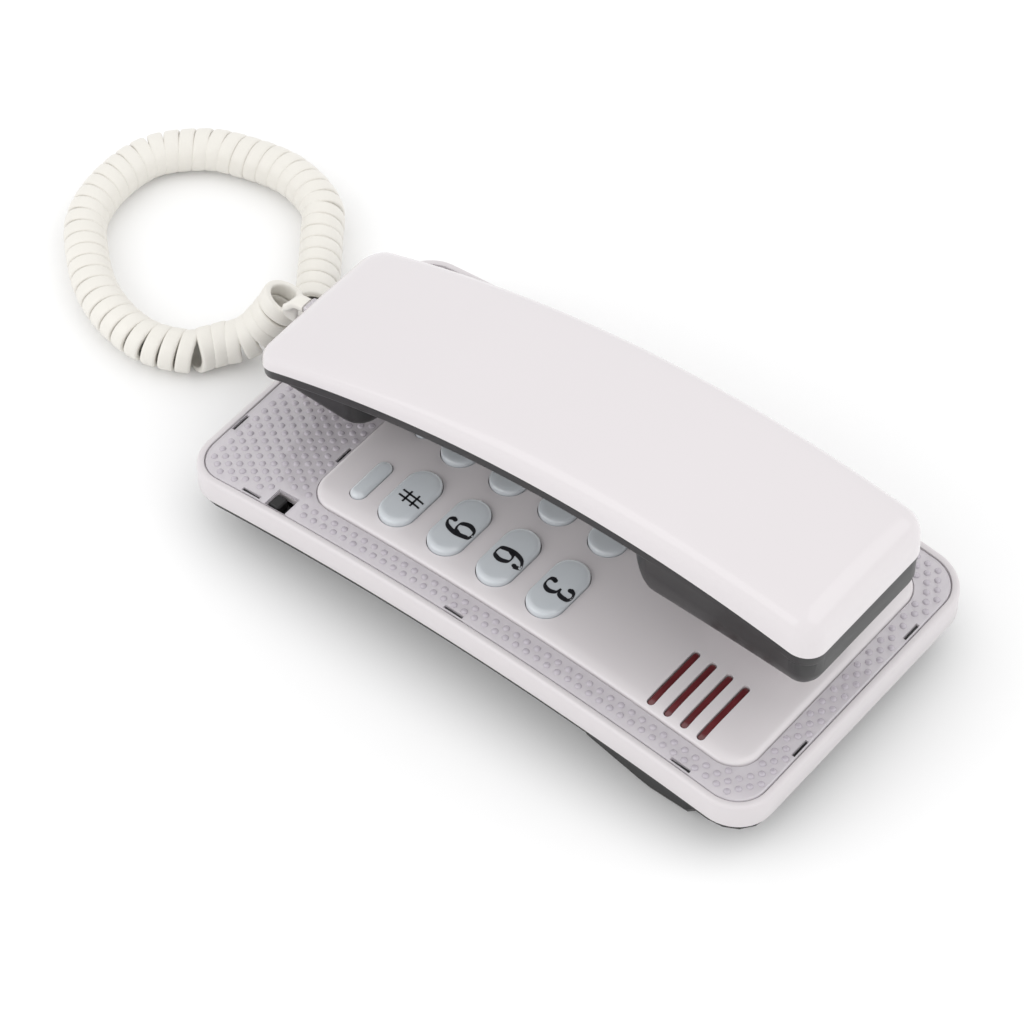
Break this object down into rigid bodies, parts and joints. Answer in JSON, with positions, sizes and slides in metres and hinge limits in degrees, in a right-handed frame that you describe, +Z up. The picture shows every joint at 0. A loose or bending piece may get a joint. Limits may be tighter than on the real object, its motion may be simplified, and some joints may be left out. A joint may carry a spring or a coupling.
{
  "type": "slimline wall phone",
  "caption": "Slimline corded wall phone: an arched base with keypad, ring lamp and hook switch, an arched handset resting on it, and a curly cord.",
  "frame": {"origin": "under the middle of the base, on the surface that the phone's feet rest on, without the cord", "axes": "+Z up out of the phone's face, +Y towards the ear end, +X towards the 3-6-9-# column of keys"},
  "size_m": [0.1119, 0.2789, 0.0724],
  "materials": {
    "white_abs": "satin moulded ABS",
    "gloss_abs": "glossy moulded ABS",
    "clear_plastic": "clear moulded styrene",
    "keycap": "glossy translucent key cap",
    "red_lens": "dark red translucent lens",
    "black_abs": "satin black ABS",
    "grey_abs": "satin dark grey ABS",
    "rubber": "moulded rubber",
    "circuit_board": "coated board",
    "brass": "stamped brass",
    "steel": "plated steel",
    "cord": "satin PVC"
  },
  "bodies": {
    "base": {"back_shell": "black_abs", "ballast": "steel", "base_screw_lower_left": "steel", "base_screw_lower_right": "steel", "base_screw_upper_left": "steel", "base_screw_upper_right": "steel", "circuit_board": "circuit_board", "clear_panel": "clear_plastic", "cord_jack": "black_abs", "cord_lead_base": "cord", "cord_plug_base": "clear_plastic", "curly_cord": "cord", "ear_cradle": "white_abs", "foot_lower_left": "rubber", "foot_lower_right": "rubber", "foot_upper_left": "rubber", "foot_upper_right": "rubber", "front_frame": "white_abs", "hanger_tab": "white_abs", "hook_spring": "steel", "hook_switch": "black_abs", "key_mat": "rubber", "keypad_panel": "gloss_abs", "lamp_lens": "red_lens", "line_jack": "black_abs", "mouth_cradle": "white_abs", "ring_lamp": "red_lens", "ringer_disc": "brass", "ringer_switch": "black_abs", "upper_board": "circuit_board"},
    "handset": {"handset_shell": "gloss_abs", "handset_back": "grey_abs", "ear_cap": "grey_abs", "receiver": "black_abs", "microphone": "steel", "handset_weight": "steel", "handset_jack": "black_abs", "handset_screw_lower": "steel", "handset_screw_upper": "steel", "cord_plug_handset": "clear_plastic", "cord_lead_handset": "cord"},
    "hook_plunger": {"hook_plunger": "grey_abs"},
    "ringer_knob": {"ringer_knob": "black_abs"},
    "key_star": {"key_star": "keycap"},
    "key_0": {"key_0": "keycap"},
    "key_hash": {"key_hash": "keycap"},
    "key_7": {"key_7": "keycap"},
    "key_8": {"key_8": "keycap"},
    "key_9": {"key_9": "keycap"},
    "key_4": {"key_4": "keycap"},
    "key_5": {"key_5": "keycap"},
    "key_6": {"key_6": "keycap"},
    "key_1": {"key_1": "keycap"},
    "key_2": {"key_2": "keycap"},
    "key_3": {"key_3": "keycap"},
    "key_flash": {"key_flash": "keycap"},
    "key_mute": {"key_mute": "keycap"},
    "key_redial": {"key_redial": "keycap"}
  },
  "joints": [
    {"name": "handset_lift", "type": "slide", "parent": "base", "child": "handset", "axis": [0, 0, 1], "range_m": [0, 0.06]},
    {"name": "hook_switch_travel", "type": "slide", "parent": "base", "child": "hook_plunger", "axis": [0, 0, 1], "range_m": [0, 0.004], "deforming": ["hook_spring"]},
    {"name": "ringer_switch_slide", "type": "slide", "parent": "base", "child": "ringer_knob", "axis": [0, 1, 0], "range_m": [0, 0.0028]},
    {"name": "key_star_press", "type": "slide", "parent": "base", "child": "key_star", "axis": [0, 0, -1], "range_m": [0, 0.0012], "stiffness_N_per_m": 400},
    {"name": "key_0_press", "type": "slide", "parent": "base", "child": "key_0", "axis": [0, 0, -1], "range_m": [0, 0.0012], "stiffness_N_per_m": 400},
    {"name": "key_hash_press", "type": "slide", "parent": "base", "child": "key_hash", "axis": [0, 0, -1], "range_m": [0, 0.0012], "stiffness_N_per_m": 400},
    {"name": "key_7_press", "type": "slide", "parent": "base", "child": "key_7", "axis": [0, 0, -1], "range_m": [0, 0.0012], "stiffness_N_per_m": 400},
    {"name": "key_8_press", "type": "slide", "parent": "base", "child": "key_8", "axis": [0, 0, -1], "range_m": [0, 0.0012], "stiffness_N_per_m": 400},
    {"name": "key_9_press", "type": "slide", "parent": "base", "child": "key_9", "axis": [0, 0, -1], "range_m": [0, 0.0012], "stiffness_N_per_m": 400},
    {"name": "key_4_press", "type": "slide", "parent": "base", "child": "key_4", "axis": [0, 0, -1], "range_m": [0, 0.0012], "stiffness_N_per_m": 400},
    {"name": "key_5_press", "type": "slide", "parent": "base", "child": "key_5", "axis": [0, 0, -1], "range_m": [0, 0.0012], "stiffness_N_per_m": 400},
    {"name": "key_6_press", "type": "slide", "parent": "base", "child": "key_6", "axis": [0, 0, -1], "range_m": [0, 0.0012], "stiffness_N_per_m": 400},
    {"name": "key_1_press", "type": "slide", "parent": "base", "child": "key_1", "axis": [0, 0, -1], "range_m": [0, 0.0012], "stiffness_N_per_m": 400},
    {"name": "key_2_press", "type": "slide", "parent": "base", "child": "key_2", "axis": [0, 0, -1], "range_m": [0, 0.0012], "stiffness_N_per_m": 400},
    {"name": "key_3_press", "type": "slide", "parent": "base", "child": "key_3", "axis": [0, 0, -1], "range_m": [0, 0.0012], "stiffness_N_per_m": 400},
    {"name": "key_flash_press", "type": "slide", "parent": "base", "child": "key_flash", "axis": [0, 0, -1], "range_m": [0, 0.0012], "stiffness_N_per_m": 400},
    {"name": "key_mute_press", "type": "slide", "parent": "base", "child": "key_mute", "axis": [0, 0, -1], "range_m": [0, 0.0012], "stiffness_N_per_m": 400},
    {"name": "key_redial_press", "type": "slide", "parent": "base", "child": "key_redial", "axis": [0, 0, -1], "range_m": [0, 0.0012], "stiffness_N_per_m": 400}
  ],
  "couplings": [
    {"joint": "hook_switch_travel", "follows": "handset_lift", "ratio": 0.0666}
  ]
}
